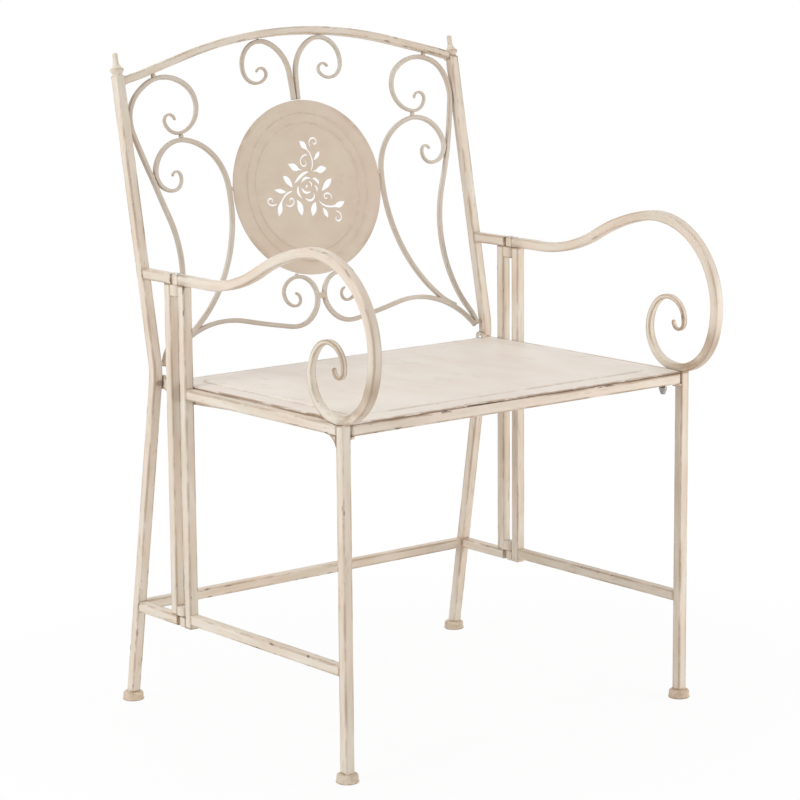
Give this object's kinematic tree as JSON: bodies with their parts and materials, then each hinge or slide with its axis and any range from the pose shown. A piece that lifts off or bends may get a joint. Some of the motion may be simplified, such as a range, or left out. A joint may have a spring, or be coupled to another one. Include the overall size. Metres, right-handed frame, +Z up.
{
  "type": "folding garden armchair",
  "caption": "Folding steel tube garden armchair with a flat sheet seat, scrolled bar back round a pierced rose medallion, and curled armrests.",
  "frame": {"origin": "centre of the whole chair's footprint box, on the floor under the glides", "axes": "+Z up, -Y the way a sitter faces, +X to the right as seen from in front of the chair"},
  "size_m": [0.5856, 0.5491, 0.8777],
  "materials": {
    "bare_steel": "dull plain steel",
    "frame_paint": "hand-applied antique cream paint, satin, worn brown at edges",
    "glide": "matt",
    "hinge_steel": "cream paint over welds, brown where the joint rubs",
    "scroll_paint": "antique cream paint, satin, worn brown on the bar's corners",
    "seat_paint": "antique cream paint, satin, faint rub marks"
  },
  "bodies": {
    "back_frame": {"back_post_right": "frame_paint", "back_post_left": "frame_paint", "finial_right": "frame_paint", "finial_left": "frame_paint", "upper_stub_right": "frame_paint", "upper_stub_left": "frame_paint", "lower_stub_right": "frame_paint", "lower_stub_left": "frame_paint", "stile_right": "frame_paint", "stile_left": "frame_paint", "rear_stretcher": "frame_paint", "rear_glide_right": "glide", "rear_glide_left": "glide", "arch_rail": "scroll_paint", "medallion": "scroll_paint", "top_scroll_right": "scroll_paint", "top_scroll_left": "scroll_paint", "corner_scroll_right": "scroll_paint", "corner_scroll_left": "scroll_paint", "bottom_scroll_right": "scroll_paint", "bottom_scroll_left": "scroll_paint", "inner_scroll_right": "scroll_paint", "inner_scroll_left": "scroll_paint", "scroll_weld_beads": "hinge_steel", "upper_stile_knuckle_right": "hinge_steel", "upper_stile_knuckle_left": "hinge_steel", "lower_stile_knuckle_right": "hinge_steel", "lower_stile_knuckle_left": "hinge_steel", "hinge_pins_right": "bare_steel", "hinge_pins_left": "bare_steel", "seat_pivot_bolt_right": "bare_steel", "seat_pivot_bolt_left": "bare_steel"},
    "side_right": {"side_upright_right": "frame_paint", "armrest_right": "frame_paint", "front_leg_right": "frame_paint", "seat_side_rail_right": "frame_paint", "side_stretcher_right": "frame_paint", "front_glide_right": "glide", "seat_support_tab_right": "frame_paint", "corner_gusset_right": "frame_paint", "upper_side_knuckle_right": "hinge_steel", "lower_side_knuckle_right": "hinge_steel"},
    "side_left": {"side_upright_left": "frame_paint", "armrest_left": "frame_paint", "front_leg_left": "frame_paint", "seat_side_rail_left": "frame_paint", "side_stretcher_left": "frame_paint", "front_glide_left": "glide", "seat_support_tab_left": "frame_paint", "corner_gusset_left": "frame_paint", "upper_side_knuckle_left": "hinge_steel", "lower_side_knuckle_left": "hinge_steel"},
    "seat": {"seat_panel": "seat_paint", "seat_front_rail": "seat_paint", "seat_rear_rail": "seat_paint", "seat_side_bar_left": "seat_paint", "seat_side_bar_right": "seat_paint"},
    "knob": {"lock_knob": "bare_steel"}
  },
  "joints": [
    {"name": "seat_fold", "type": "hinge", "parent": "back_frame", "child": "seat", "pos_m": [0, 0.1815, 0.437], "axis": [-1, 0, 0], "range_deg": [0, 78]},
    {"name": "right_side_swing", "type": "hinge", "parent": "back_frame", "child": "side_right", "pos_m": [0.2785, 0.1294, 0.35], "axis": [0, 0, 1], "range_deg": [0, 90]},
    {"name": "left_side_swing", "type": "hinge", "parent": "back_frame", "child": "side_left", "pos_m": [-0.2785, 0.1294, 0.35], "axis": [0, 0, -1], "range_deg": [0, 90]},
    {"name": "knob_turn", "type": "hinge", "parent": "seat", "child": "knob", "pos_m": [0.2443, -0.209, 0.4155], "axis": [0, 0, 1], "continuous": true}
  ]
}
